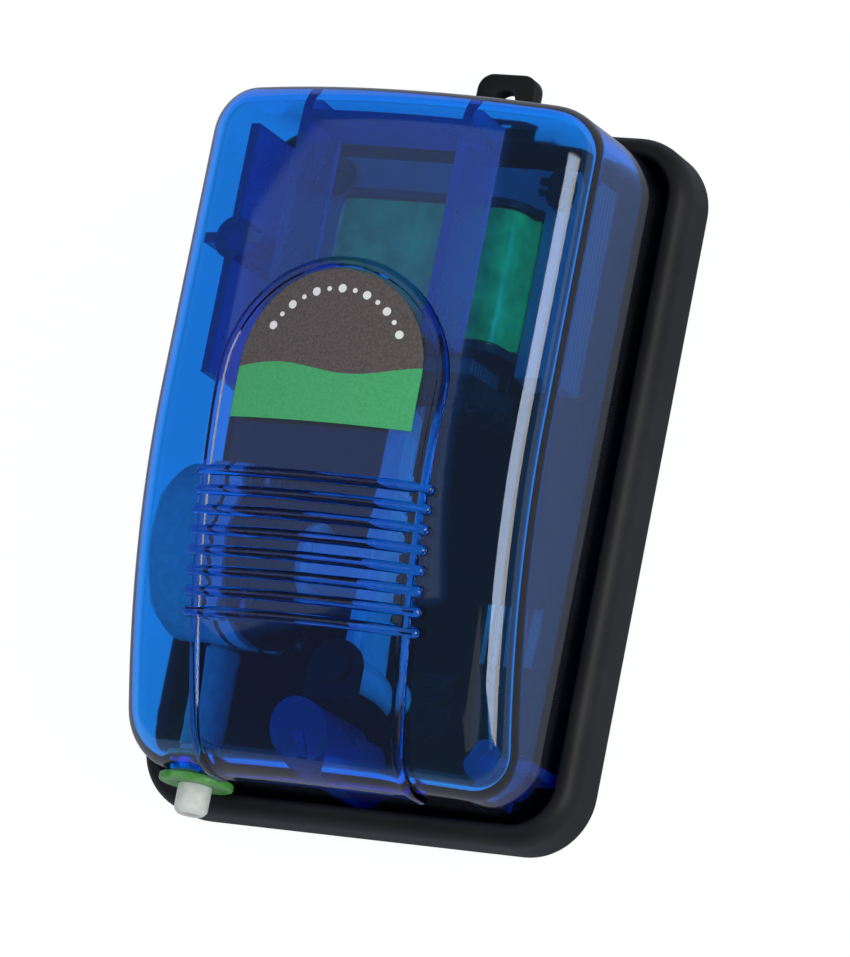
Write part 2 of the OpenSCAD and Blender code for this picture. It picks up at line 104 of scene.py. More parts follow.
world = bpy.data.worlds.new("white surround")
scene.world = world
world.use_nodes = True
world.node_tree.nodes.clear()
rays = add(world, "ShaderNodeLightPath")
spread = add(world, "ShaderNodeMath", {1: 0.5}, {0: (rays, "Diffuse Depth")}, operation="GREATER_THAN")
open_air = add(world, "ShaderNodeMath", {1: 0.48, 2: 0.12}, {0: (spread, 0)}, operation="MULTIPLY_ADD")
in_cover = add(world, "ShaderNodeMath", {1: 0.6, 2: 0.4}, {0: (spread, 0)}, operation="MULTIPLY_ADD")
room = add(world, "ShaderNodeMix", None,
           {0: (rays, "Is Transmission Ray"), 2: (open_air, 0), 3: (in_cover, 0)}, data_type="FLOAT")
level = add(world, "ShaderNodeMath", None, {0: (rays, "Is Camera Ray"), 1: (room, 0)},
            operation="MAXIMUM")
sky = add(world, "ShaderNodeBackground", {"Color": (1, 1, 1, 1)}, {"Strength": (level, 0)})
add(world, "ShaderNodeOutputWorld", None, {"Surface": (sky, 0)})


def blank(name):
    """A new material with no nodes in it yet."""
    mat = bpy.data.materials.new(name)
    mat.use_nodes = True
    mat.node_tree.nodes.clear()
    return mat


table = blank("white laminate table")
rays = add(table, "ShaderNodeLightPath")
seen = add(table, "ShaderNodeMath", None,
           {0: (rays, "Is Camera Ray"), 1: (rays, "Is Transmission Ray")}, operation="MAXIMUM")
matt = add(table, "ShaderNodeBsdfDiffuse", {"Color": linear("#b9bfca")})
white = add(table, "ShaderNodeEmission", {"Color": (1, 1, 1, 1), "Strength": 1.15})
share = add(table, "ShaderNodeMath", {1: 0.82}, {0: (seen, 0)}, operation="MULTIPLY")
either = add(table, "ShaderNodeMixShader", None,
             {0: (share, 0), 1: (matt, 0), 2: (white, 0)})
add(table, "ShaderNodeOutputMaterial", None, {"Surface": (either, 0)})

top = bpy.data.meshes.new("table_top")
top.from_pydata([(-3, -3, -0.0002), (3, -3, -0.0002), (3, 3, -0.0002), (-3, 3, -0.0002)],
                [], [(0, 1, 2, 3)])
top.materials.append(table)
table_top = bpy.data.objects.new("table_top", top)
scene.collection.objects.link(table_top)


def lamp(name, place, aim, width, height, watts, tint="#ffffff"):
    light = bpy.data.lights.new(name, "AREA")
    light.shape = "RECTANGLE"
    light.size, light.size_y = width, height
    light.energy = watts
    light.color = linear(tint)[:3]
    holder = bpy.data.objects.new(name, light)
    scene.collection.objects.link(holder)
    holder.location = place
    holder.rotation_euler = (Vector(aim) - Vector(place)).to_track_quat("-Z", "Y").to_euler()
    return holder


lamp("right_softbox", (0.75, -0.03, 0.37), (0.02, 0, 0.03), 0.6, 0.36, 3.7)
lamp("overhead_softbox", (-0.42, -0.02, 0.90), (0, 0.01, 0.03), 0.68, 0.9, 1.5, "#bcd2ff")
lamp("front_softbox", (0.36, -0.50, 0.78), (0, 0, 0.03), 0.5, 0.3, 0.2)


# ---------------------------------------------------------------- clear cover
# One injection moulding in blue-tinted polystyrene, polished inside and out. It has
# an arched pad with a rim, eight grip ribs, and ribs and screw posts under the roof.
MM = 0.001
MID_Y = -4.0           # the middle of the base lies 4 mm towards the outlet
COVER_A, COVER_B = 31.2, 49.2
COVER_R, WALL, FILLET, DRAFT = 7.5, 1.8, 5.5, 0.5
FOOT_Z = 3.0
OUTLET_X, GLAND_X, AIR_Z = -21, -8, 15
MIDDLE_POST, CORNER_POST, SIDE_POST = (0.5, -43), (22.5, -42), (-21, 25)
GRIPS, FIRST_GRIP, GRIP_PITCH = 8, -9.5, 2.78


def roof(x, y):
    """Height of the cover's roof: crowned across, falling towards the outlet."""
    return 40.0 - x * x / 180.0 - max(0.0, 4.0 - y) ** 2 / 216.0


def shape(name, points, faces, body="housing", smooth=40):
    """A piece from points in millimetres about the middle of the base."""
    mesh = bpy.data.meshes.new(name)
    mesh.from_pydata([(x * MM, (y + MID_Y) * MM, z * MM) for x, y, z in points], [], faces)
    mesh.validate()
    piece = bpy.data.objects.new(name, mesh)
    scene.collection.objects.link(piece)
    mesh.shade_smooth()
    mesh.set_sharp_from_angle(angle=math.radians(smooth))
    if body:
        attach(piece, body)
    return piece


def outline(a, b, r, ends=16, corner=10, sides=60):
    """Rounded rectangle, anticlockwise from the middle of the outlet end."""
    half = [((a - r) * k / ends, -b) for k in range(ends)]
    half += [(a - r + r * math.sin(t), -b + r - r * math.cos(t))
             for t in (math.pi / 2 * k / corner for k in range(corner + 1))]
    half += [(a, (b - r) * (2 * k / sides - 1)) for k in range(1, sides)]
    half += [(a - r + r * math.cos(t), b - r + r * math.sin(t))
             for t in (math.pi / 2 * k / corner for k in range(corner + 1))]
    half += [((a - r) * (ends - k) / ends, b) for k in range(1, ends + 1)]
    return half + [(-x, y) for x, y in half[-2:0:-1]], len(half) - 1


def skin_rings(t):
    """Rings of one face of the wall, t inside the outer face, foot to roof."""
    a, b, f = COVER_A - t, COVER_B - t, FILLET - t
    r = COVER_R - t
    rings = []
    for k in range(7):
        s = k / 6
        line, half = outline(a - DRAFT * s, b - DRAFT * s, r - DRAFT * s)
        rings.append([(x, y, FOOT_Z + (roof(x, y) - t - f - FOOT_Z) * s) for x, y in line])
    for k in range(1, 19):
        q = math.pi / 2 * k / 18
        d = DRAFT + f * (1 - math.cos(q))
        line, half = outline(a - d, b - d, max(0.6, r - d))
        rings.append([(x, y, roof(x, y) - t - f * (1 - math.sin(q))) for x, y in line])
    for k in range(1, 25):
        d = DRAFT + f + (a - DRAFT - f - 1.0) * k / 24
        line, half = outline(a - d, b - d, max(0.6, r - d))
        rings.append([(x, y, roof(x, y) - t) for x, y in line])
    return rings, half


def cover_shell():
    """Outer and inner skin of the cover, joined along its foot."""
    points, faces = [], []
    starts = []
    for t in (0.0, WALL):
        rings, half = skin_rings(t)
        n, base = len(rings[0]), len(points)
        starts.append(base)
        for ring in rings:
            points.extend(ring)
        out = t == 0.0
        for j in range(len(rings) - 1):
            for i in range(n):
                p, q = base + j * n + i, base + j * n + (i + 1) % n
                faces.append((p, q, q + n, p + n) if out else (p, p + n, q + n, q))
        s = base + (len(rings) - 1) * n
        for i in range(half):
            u, v = s + i, s + i + 1
            w, x = s + (n - i - 1) % n, s + (n - i) % n
            ring = [u, v] + ([w] if w != v else []) + ([x] if x not in (u, w) else [])
            faces.append(tuple(ring) if out else tuple(reversed(ring)))
    for i in range(n):
        p, q = i, (i + 1) % n
        faces.append((p, starts[1] + p, starts[1] + q, q))
    return points, faces


def arch(r, drop_in, y_end, steps=30, sides=44):
    """Left side, arch and right side of the pad's outline, bottom to bottom."""
    yc = 4.3
    left = [(-(r - drop_in * (1 - k / sides)), y_end + (yc - y_end) * k / sides)
            for k in range(sides)]
    over = [(-r * math.cos(math.pi * k / steps), yc + r * math.sin(math.pi * k / steps))
            for k in range(steps + 1)]
    return left + over + [(-x, y) for x, y in reversed(left)]


END_Y = -(COVER_B - DRAFT - FILLET)


def on_roof(x, s, h):
    """Point h above the cover; s runs down the roof and round the outlet-end edge."""
    if s >= END_Y:
        return (x, s, roof(x, s) + h)
    q = min(math.pi / 2, (END_Y - s) / FILLET)
    y = END_Y - FILLET * math.sin(q)
    z = roof(x, y) - FILLET * (1 - math.cos(q))
    left = (END_Y - s) - FILLET * math.pi / 2
    if left > 0:
        z -= left
    return (x, y - h * math.sin(q), z + h * math.cos(q))


def raised_pad():
    """Closed body of the pad: rolled rim, sunk field, foot buried in the wall."""
    y_end = END_Y - FILLET * math.pi / 2 - 3
    profile = [(0.0, -0.9), (0.0, 0.55), (0.12, 0.85), (0.4, 1.0), (1.05, 1.0),
               (1.35, 0.9), (1.55, 0.66), (1.75, 0.6)]
    loops = []
    for inset, h in profile:
        line = arch(18.0 - inset, 1.6, y_end)
        loops.append([on_roof(x, y, h) for x, y in line])
    n = len(loops[0])
    points = [p for loop in loops for p in loop]
    faces = []
    for j in range(len(loops) - 1):
        for i in range(n - 1):
            p = j * n + i
            faces.append((p, p + n, p + n + 1, p + 1))
    # field and underside: rows from each left point to its right twin
    half = n // 2
    m = 12
    for level, h, up in ((len(loops) - 1, 0.6, True), (0, -0.9, False)):
        line = arch(18.0 - profile[level][0], 1.6, y_end)
        rows = []
        for i in range(half + 1):
            a, b = level * n + i, level * n + n - 1 - i
            if a == b:
                rows.append([a])
                continue
            row = [a]
            for k in range(1, m):
                x = line[i][0] * (1 - 2 * k / m)
                points.append(on_roof(x, line[i][1], h))
                row.append(len(points) - 1)
            rows.append(row + [b])
        for lower, upper in zip(rows, rows[1:]):
            for k in range(len(lower) - 1):
                if len(upper) == 1:
                    f = (lower[k], lower[k + 1], upper[0])
                else:
                    f = (lower[k], lower[k + 1], upper[k + 1], upper[k])
                faces.append(f if up else tuple(reversed(f)))
        if level:
            end_top = rows[0]
        else:
            end_low = rows[0]
    rim_left = [j * n for j in range(len(loops))]
    rim_right = [j * n + n - 1 for j in range(len(loops))]
    for k in range(1, m - 1):
        faces.append((end_top[k], end_top[k + 1], end_low[k + 1], end_low[k]))
    for j in range(len(loops) - 1):
        faces.append((rim_left[j], rim_left[j + 1], end_low[1]))
        faces.append((rim_right[j + 1], rim_right[j], end_low[-2]))
    faces.append((end_top[0], end_top[1], end_low[1]))
    faces.append((end_top[-2], end_top[-1], end_low[-2]))
    return points, faces


def grip_bar(y, reach=17.8, r=0.8, steps=24):
    """A round bar that follows the crown, with ball ends."""
    points, faces = [], []
    sides = 16
    stations = [(-reach - r * math.cos(t), r * math.sin(t))
                for t in (math.pi / 2 * k / 4 for k in range(1, 5))]
    stations += [(-reach + 2 * reach * k / steps, r) for k in range(1, steps)]
    stations += [(-x, w) for x, w in reversed(stations[:4])]
    for x, w in stations:
        z = roof(x, y) + 0.4
        for k in range(sides):
            t = 2 * math.pi * k / sides
            points.append((x, y + w * math.cos(t), z + w * math.sin(t)))
    for j in range(len(stations) - 1):
        for k in range(sides):
            p, q = j * sides + k, j * sides + (k + 1) % sides
            faces.append((p, q, q + sides, p + sides))
    faces.append(tuple(reversed(range(sides))))
    faces.append(tuple(range((len(stations) - 1) * sides, len(stations) * sides)))
    return points, faces


RIB_GAP = 0.03         # ribs stop just short of the wall: light led along a fused rib turns it black


def under_wall(x, y):
    """Height at which a rib or post ends below the wall, which falls away at its edges."""
    d = max(0.0, abs(y) - (COVER_B - DRAFT - FILLET))
    e = max(0.0, abs(x) - (COVER_A - DRAFT - FILLET))
    g = min(FILLET, math.hypot(d, e))
    return roof(x, y) - (FILLET - math.sqrt(FILLET ** 2 - g * g)) - WALL - RIB_GAP


def hung_block(x0, x1, y0, y1, low):
    """A rib under the roof: straight sides, its top lying along the wall."""
    nx = max(1, int((x1 - x0) / 2))
    ny = max(1, int((y1 - y0) / 2))
    xs = [x0 + (x1 - x0) * k / nx for k in range(nx + 1)]
    ys = [y0 + (y1 - y0) * k / ny for k in range(ny + 1)]
    points = [(x, y, low) for y in ys for x in xs]
    points += [(x, y, under_wall(x, y)) for y in ys for x in xs]
    w, half = nx + 1, (nx + 1) * (ny + 1)
    faces = []
    for j in range(ny):
        for i in range(nx):
            p = j * w + i
            faces.append((p, p + w, p + w + 1, p + 1))
            faces.append((half + p, half + p + 1, half + p + w + 1, half + p + w))
    for i in range(nx):
        faces.append((i, i + 1, half + i + 1, half + i))
        p = ny * w + i
        faces.append((p, half + p, half + p + 1, p + 1))
    for j in range(ny):
        p, q = j * w, (j + 1) * w
        faces.append((p, half + p, half + q, q))
        p, q = p + nx, q + nx
        faces.append((p, q, half + q, half + p))
    return points, faces


def post(x, y, r, low, high, sides=40):
    """An upright round post, also used as a drill."""
    points = [(x + r * math.cos(2 * math.pi * k / sides), y + r * math.sin(2 * math.pi * k / sides), z)
              for z in (low, high) for k in range(sides)]
    faces = [(k, (k + 1) % sides, sides + (k + 1) % sides, sides + k) for k in range(sides)]
    faces += [tuple(reversed(range(sides))), tuple(range(sides, 2 * sides))]
    return points, faces


def web(x0, x1, y0, y1):
    """A low web from the corner post to the wall."""
    points = [(x, y, z) for z in (5.1, 14.1) for x, y in ((x0, y0), (x1, y0), (x1, y1), (x0, y1))]
    return points, [(3, 2, 1, 0), (4, 5, 6, 7), (0, 1, 5, 4), (1, 2, 6, 5), (2, 3, 7, 6), (3, 0, 4, 7)]


def screw_post(x, y, r, low):
    """A post under the roof, cut to the slope of the wall."""
    points, faces = post(x, y, r, low, 50)
    sides = len(points) // 2
    return points[:sides] + [(px, py, under_wall(px, py)) for px, py, pz in points[sides:]], faces


def along_y(points, x, z):
    """Turns an upright post so that its height runs along -Y."""
    return [(x + px, -pz, z + py) for px, py, pz in points]


def join_to(piece, parts, how):
    """Unites or cuts closed bodies with the piece, one boolean for all of them."""
    group = bpy.data.collections.new("mould_parts")
    scene.collection.children.link(group)
    for points, faces in parts:
        mesh = bpy.data.meshes.new("mould_part")
        mesh.from_pydata([(x * MM, (y + MID_Y) * MM, z * MM) for x, y, z in points], [], faces)
        tool = bpy.data.objects.new("mould_part", mesh)
        group.objects.link(tool)
    step = piece.modifiers.new("mould", "BOOLEAN")
    step.operation = how
    step.operand_type = "COLLECTION"
    step.collection = group
    step.solver = "EXACT"
    deps = bpy.context.evaluated_depsgraph_get()
    made = bpy.data.meshes.new_from_object(piece.evaluated_get(deps))
    piece.modifiers.clear()
    old = piece.data
    piece.data = made
    bpy.data.meshes.remove(old)
    for tool in list(group.objects):
        mesh = tool.data
        bpy.data.objects.remove(tool)
        bpy.data.meshes.remove(mesh)
    bpy.data.collections.remove(group)


cover = shape("clear_cover", *cover_shell())
join_to(cover, [raised_pad()], "UNION")
join_to(cover, [grip_bar(FIRST_GRIP - GRIP_PITCH * k) for k in range(GRIPS)], "UNION")
drill, sides = post(0, 0, 4.0, 40, 60)
gland, sides = post(0, 0, 3.45, -60, -40)
join_to(cover, [
    (along_y(drill, OUTLET_X, AIR_Z), sides), (along_y(gland, GLAND_X, AIR_Z), sides),
    (along_y(post(0, 0, 5.5, 49.1, 56)[0], OUTLET_X, AIR_Z), sides)], "DIFFERENCE")
cover.data.shade_smooth()
cover.data.set_sharp_from_angle(angle=math.radians(32))

# Ribs and screw posts, moulded with the cover, keep the dull face of the tool.
ribs = shape("cover_ribs", *hung_block(-21.75, -20.25, 5, 42, 24))
join_to(ribs, [
    hung_block(-26, -16, 24.25, 25.75, 21),
    screw_post(*SIDE_POST, 3.1, 5.1),
    hung_block(-13.25, -11.75, 13, 46.8, 26.8),
    hung_block(11.75, 13.25, 13, 46.8, 26.8),
    hung_block(-12.5, 12.5, 42.5, 44, 26.8),
    screw_post(*MIDDLE_POST, 4.5, 5.1),
    hung_block(-0.2, 1.2, -46.8, -43, 5.1),
    post(*CORNER_POST, 3.3, 5.1, 14.1),
    web(22.5, 28.9, -42.7, -41.3), web(21.8, 23.2, -46.8, -42)], "UNION")
join_to(ribs, [post(*MIDDLE_POST, 1.4, 0, 25.5), post(*CORNER_POST, 1.4, 0, 12.7),
               post(*SIDE_POST, 1.4, 0, 33)], "DIFFERENCE")
ribs.data.shade_smooth()
ribs.data.set_sharp_from_angle(angle=math.radians(32))

# Polystyrene bends light like glass; the dye takes red first, then green, so one
# wall is azure and several walls are navy. Handling leaves faint rubbed patches.
tinted = blank("blue transparent polystyrene")
dulled = blank("blue polystyrene off a dull tool")
for mat, low, high, share, tone in ((tinted, 0.025, 0.06, 1.0, "#ffffff"),
                                    (dulled, 0.22, 0.34, 0.78, "#86c4ff")):
    place = add(mat, "ShaderNodeTexCoord")
    rubbed = add(mat, "ShaderNodeTexNoise", {"Scale": 120.0, "Detail": 3.0}, {"Vector": (place, "Object")})
    polish = add(mat, "ShaderNodeMapRange", {"To Min": low, "To Max": high}, {"Value": (rubbed, "Fac")})
    bsdf = add(mat, "ShaderNodeBsdfPrincipled",
               {"Base Color": linear(tone), "IOR": 1.58, "Transmission Weight": share},
               {"Roughness": (polish, "Result")})
    dye = add(mat, "ShaderNodeVolumeAbsorption", {"Color": (0.0, 0.715, 0.972, 1), "Density": 1300.0})
    add(mat, "ShaderNodeOutputMaterial", None, {"Surface": (bsdf, 0), "Volume": (dye, 0)})
for piece, mat in ((cover, tinted), (ribs, dulled)):
    piece.data.materials.clear()
    piece.data.materials.append(mat)
    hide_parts("cover")


# ---------------------------------------------------------------- rubber base
# A soft black rubber tray that the cover is pressed into, moulded in one with the
# hanging tab. Its lip has a rounded shoulder and a thin crest against the cover.
BASE_A, BASE_B, BASE_R, LIP = 34.5, 52.5, 9.5, 9.0


def swept_lip():
    """The side of the base, its section carried round the rounded rectangle."""
    section = [(0.75, 0.0), (0.3, 0.12), (0.08, 0.4), (0.0, 0.9), (0.0, 3.0), (0.0, LIP - 3.2)]
    section += [(2.24 * (1 - math.cos(t)), LIP - 3.2 + 3.2 * math.sin(t))
                for t in (math.radians(9 * k) for k in range(1, 10))]
    section += [(2.34, LIP), (2.6, LIP - 0.02), (2.9, LIP - 0.25), (3.08, LIP - 0.8),
                (3.12, 2.7), (3.4, 2.6), (3.4, 0.15), (3.25, 0.0)]
    points, faces = [], []
    for u, z in section:
        line, half = outline(BASE_A - u, BASE_B - u, BASE_R - u, 10, 16, 24)
        points += [(x, y, z) for x, y in line]
    n, m = len(line), len(section)
    for j in range(m):
        for i in range(n):
            p, q = j * n + i, j * n + (i + 1) % n
            r, s = ((j + 1) % m) * n + i, ((j + 1) % m) * n + (i + 1) % n
            faces.append((p, q, s, r))
    return points, faces


def slab(line, low, high, soft=0.0):
    """A closed flat body from an outline, with its upper and lower edges eased."""
    levels = [(low, soft), (low + soft, 0.0), (high - soft, 0.0), (high, soft)]
    if not soft:
        levels = [(low, 0.0), (high, 0.0)]
    n = len(line)
    points = []
    for z, inset in levels:
        for i, (x, y) in enumerate(line):
            ax, ay = line[i - 1]
            bx, by = line[(i + 1) % n]
            tx, ty = bx - ax, by - ay
            size = math.hypot(tx, ty) or 1.0
            points.append((x - ty / size * inset, y + tx / size * inset, z))
    faces = [tuple(reversed(range(n)))]
    for j in range(len(levels) - 1):
        for i in range(n):
            p, q = j * n + i, j * n + (i + 1) % n
            faces.append((p, q, q + n, p + n))
    faces.append(tuple(range((len(levels) - 1) * n, len(levels) * n)))
    return points, faces


def arc(x, y, r, a0, a1, steps=12):
    """Points on an arc about (x, y), from angle a0 to a1 in degrees."""
    return [(x + r * math.cos(math.radians(a0 + (a1 - a0) * k / steps)),
             y + r * math.sin(math.radians(a0 + (a1 - a0) * k / steps)))
            for k in range(steps + 1)]


def joined(*bodies):
    """Several bodies as one list of points and one of faces."""
    points, faces = [], []
    for p, f in bodies:
        base = len(points)
        points += p
        faces += [tuple(base + i for i in face) for face in f]
    return points, faces


floor_line, half = outline(31.3, 49.3, 6.3, 10, 12, 20)
tray = shape("rubber_tray", *joined(
    slab(floor_line, 0.8, 3.0),
    *[slab(arc(sx * 24, sy * 42, 5, 0, 345, 23), 0.0, 1.0, 0.2) for sx in (-1, 1) for sy in (-1, 1)]))
join_to(tray, [post(x, y, 3.1, -1, 5) for x, y in (MIDDLE_POST, CORNER_POST, SIDE_POST)]
        + [post(18, -22, 5.0, -1, 5)], "DIFFERENCE")
tray.data.shade_smooth()
tray.data.set_sharp_from_angle(angle=math.radians(35))

lip = shape("rubber_lip", *swept_lip(), smooth=60)

tab_line = ([(6.2, 51.8), (5.2, 53.2), (4.85, 55.0)]
            + arc(2.4, BASE_B + 7.2, 2.4, 0, 90) + arc(-2.4, BASE_B + 7.2, 2.4, 90, 180)
            + [(-4.85, 55.0), (-5.2, 53.2), (-6.2, 51.8)])
tab = shape("hanging_tab", *slab(tab_line, 0.2, 3.0, 0.35), smooth=30)
join_to(tab, [post(0, BASE_B + 5.3, 1.8, -1, 6, 48)], "DIFFERENCE")
tab.data.shade_smooth()
tab.data.set_sharp_from_angle(angle=math.radians(50))

# Carbon-black rubber: very dark, half matt, with the fine spark grain of its mould
# (0.25 mm grains) and slightly greyer where it is handled.
rubber = blank("moulded black rubber")
place = add(rubber, "ShaderNodeTexCoord")
cloud = add(rubber, "ShaderNodeTexNoise", {"Scale": 90.0, "Detail": 4.0}, {"Vector": (place, "Object")})
grain = add(rubber, "ShaderNodeTexNoise", {"Scale": 4000.0, "Detail": 2.0}, {"Vector": (place, "Object")})
shade = add(rubber, "ShaderNodeValToRGB", None, {"Fac": (cloud, "Fac")})
shade.color_ramp.elements[0].color = linear("#161617")
shade.color_ramp.elements[0].position = 0.35
shade.color_ramp.elements[1].color = linear("#1f1f20")
shade.color_ramp.elements[1].position = 0.7
relief = add(rubber, "ShaderNodeBump", {"Strength": 0.25, "Distance": 0.00003}, {"Height": (grain, "Fac")})
bsdf = add(rubber, "ShaderNodeBsdfPrincipled", {"Roughness": 0.52, "IOR": 1.5, "Specular IOR Level": 0.3},
           {"Base Color": (shade, "Color"), "Normal": (relief, "Normal")})
add(rubber, "ShaderNodeOutputMaterial", None, {"Surface": (bsdf, 0)})
for piece in (tray, lip, tab):
    piece.data.materials.clear()
    piece.data.materials.append(rubber)
    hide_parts("rubber_base")


# ---------------------------------------------------------------- label
# A printed film in the arch of the pad: speckled grey over a green wave. The place
# for words is left plain, with an arc of small white bubbles.
def label_patch(r, yc, low, h0, h1, rows=46, cols=40):
    """An arch-topped film that follows the roof between the heights h0 and h1."""
    lines = []
    for k in range(rows + 1):
        y = low + (yc + r - 0.02 - low) * k / rows
        w = r if y <= yc else math.sqrt(max(0.0, r * r - (y - yc) ** 2))
        lines.append([(w * (2 * i / cols - 1), y) for i in range(cols + 1)])
    points = [on_roof(x, y, h) for h in (h1, h0) for row in lines for x, y in row]
    w, half = cols + 1, (cols + 1) * (rows + 1)
    faces = []
    for j in range(rows):
        for i in range(cols):
            p = j * w + i
            faces.append((p, p + 1, p + w + 1, p + w))
            faces.append((half + p, half + p + w, half + p + w + 1, half + p + 1))
    rim = list(range(w)) + [j * w + cols for j in range(1, rows + 1)]
    rim += [rows * w + i for i in range(cols - 1, -1, -1)] + [j * w for j in range(rows - 1, 0, -1)]
    for a, b in zip(rim, rim[1:] + rim[:1]):
        faces.append((a, half + a, half + b, b))
    return points, faces


label = shape("label_film", *label_patch(14.2, 6.2, -1.9, 0.66, 0.82))
film = blank("printed polyester film")
place = add(film, "ShaderNodeTexCoord")
axes = add(film, "ShaderNodeSeparateXYZ", None, {0: (place, "Object")})
phase = add(film, "ShaderNodeMath", {1: 260.0, 2: 2.2}, {0: (axes, "X")}, operation="MULTIPLY_ADD")
swell = add(film, "ShaderNodeMath", None, {0: (phase, 0)}, operation="COSINE")
lean = add(film, "ShaderNodeMath", {1: 0.04, 2: 0.0019}, {0: (axes, "X")}, operation="MULTIPLY_ADD")
edge = add(film, "ShaderNodeMath", {1: 0.00075}, {0: (swell, 0), 2: (lean, 0)}, operation="MULTIPLY_ADD")
above = add(film, "ShaderNodeMath", None, {0: (axes, "Y"), 1: (edge, 0)}, operation="GREATER_THAN")
speck = add(film, "ShaderNodeTexNoise", {"Scale": 2600.0, "Detail": 4.0, "Roughness": 0.6},
            {"Vector": (place, "Object")})
grey = add(film, "ShaderNodeValToRGB", None, {"Fac": (speck, "Fac")})
grey.color_ramp.elements[0].color = linear("#4b423f")
grey.color_ramp.elements[0].position = 0.36
grey.color_ramp.elements[1].color = linear("#625855")
grey.color_ramp.elements[1].position = 0.66
green = add(film, "ShaderNodeValToRGB", None, {"Fac": (speck, "Fac")})
green.color_ramp.elements[0].color = linear("#38a05f")
green.color_ramp.elements[0].position = 0.36
green.color_ramp.elements[1].color = linear("#43ae6b")
green.color_ramp.elements[1].position = 0.66
print_mix = add(film, "ShaderNodeMix", None, {0: (above, 0), 6: (green, "Color"), 7: (grey, "Color")},
                data_type="RGBA")
relief = add(film, "ShaderNodeBump", {"Strength": 0.3, "Distance": 0.00003}, {"Height": (speck, "Fac")})
bsdf = add(film, "ShaderNodeBsdfPrincipled", {"Roughness": 0.5, "IOR": 1.5},
           {"Base Color": (print_mix, 2), "Normal": (relief, "Normal")})
add(film, "ShaderNodeOutputMaterial", None, {"Surface": (bsdf, 0)})
label.data.materials.append(film)
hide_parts("label")

bubbles = []
for k in range(13):
    t = math.radians(152 - 124 * k / 12)
    cx, cy = 11.2 * math.cos(t), 6.3 + 11.2 * math.sin(t)
    size = (0.62, 0.36)[k % 2]
    ring = arc(cx, cy, size, 0, 345, 23)
    points = [on_roof(x, y, h) for h in (0.79, 0.85) for x, y in ring]
    n = len(ring)
    faces = [tuple(reversed(range(n))), tuple(range(n, 2 * n))]
    faces += [(i, (i + 1) % n, n + (i + 1) % n, n + i) for i in range(n)]
    bubbles.append((points, faces))
dots = shape("label_bubbles", *joined(*bubbles))
ink = blank("white screen ink")
place = add(ink, "ShaderNodeTexCoord")
speck = add(ink, "ShaderNodeTexNoise", {"Scale": 1600.0, "Detail": 4.0}, {"Vector": (place, "Object")})
pale = add(ink, "ShaderNodeValToRGB", None, {"Fac": (speck, "Fac")})
pale.color_ramp.elements[0].color = linear("#cfcfcc")
pale.color_ramp.elements[1].color = linear("#f2f2ef")
bsdf = add(ink, "ShaderNodeBsdfPrincipled", {"Roughness": 0.5}, {"Base Color": (pale, "Color")})
add(ink, "ShaderNodeOutputMaterial", None, {"Surface": (bsdf, 0)})
dots.data.materials.append(ink)


# ---------------------------------------------------------------- outlet
# A green grommet buttoned into the end wall, a milky nylon nozzle through it, and a
# short silicone hose from its tail to the pump chamber.
def turned(profile, sides=64):
    """A closed ring turned about the height axis from an (r, z) outline."""
    points = [(r * math.cos(2 * math.pi * k / sides), r * math.sin(2 * math.pi * k / sides), z)
              for r, z in profile for k in range(sides)]
    m = len(profile)
    faces = []
    for j in range(m):
        for k in range(sides):
            a, b = j * sides + k, j * sides + (k + 1) % sides
            c, d = ((j + 1) % m) * sides + (k + 1) % sides, ((j + 1) % m) * sides + k
            faces.append((a, b, c, d))
    return points, faces


def at_outlet(body):
    """Lays a turned piece over, onto the axis of the outlet."""
    points, faces = body
    return along_y(points, OUTLET_X, AIR_Z), faces


grommet = shape("green_grommet", *at_outlet(turned([
    (2.1, 45.85), (2.4, 45.8), (4.4, 45.8), (4.6, 46.0), (4.6, 46.7), (4.4, 46.85), (3.95, 46.85),
    (3.95, 49.15), (5.25, 49.15), (5.4, 49.3), (5.4, 49.95), (5.32, 50.12), (5.15, 50.2),
    (2.6, 50.2), (2.1, 50.0)])), smooth=35)
nozzle = shape("air_nozzle", *at_outlet(turned([
    (1.2, 40.0), (1.9, 40.0), (2.0, 40.1), (2.0, 44.7), (2.8, 44.7), (2.9, 44.8), (2.9, 45.6),
    (2.8, 45.7), (2.0, 45.7), (2.0, 50.2), (2.43, 50.2), (2.45, 50.3), (2.45, 53.55),
    (2.38, 53.85), (2.1, 54.2), (1.88, 54.42), (1.7, 54.5), (1.35, 54.5), (1.22, 54.4), (1.2, 54.2)])),
    smooth=35)
hose = shape("silicone_hose", *at_outlet(turned([
    (2.03, 30.25), (2.2, 30.2), (2.95, 30.2), (3.1, 30.35), (3.1, 44.35), (2.95, 44.5),
    (2.2, 44.5), (2.03, 44.45)])), smooth=35)


def dressed(name, low, high, rough, scale, depth, metal=0.0, ior=1.5, **extra):
    """A finish whose tone drifts between two colours over a real grain size."""
    mat = blank(name)
    where = add(mat, "ShaderNodeTexCoord")
    noise = add(mat, "ShaderNodeTexNoise", {"Scale": scale, "Detail": 4.0}, {"Vector": (where, "Object")})
    ramp = add(mat, "ShaderNodeValToRGB", None, {"Fac": (noise, "Fac")})
    ramp.color_ramp.elements[0].color = linear(low)
    ramp.color_ramp.elements[0].position = 0.32
    ramp.color_ramp.elements[1].color = linear(high)
    ramp.color_ramp.elements[1].position = 0.68
    bump = add(mat, "ShaderNodeBump", {"Strength": 0.3, "Distance": depth}, {"Height": (noise, "Fac")})
    values = {"Roughness": rough, "Metallic": metal}
    if not metal:
        values["IOR"] = ior
    values.update(extra)
    surface = add(mat, "ShaderNodeBsdfPrincipled", values,
                  {"Base Color": (ramp, "Color"), "Normal": (bump, "Normal")})
    add(mat, "ShaderNodeOutputMaterial", None, {"Surface": (surface, 0)})
    return mat


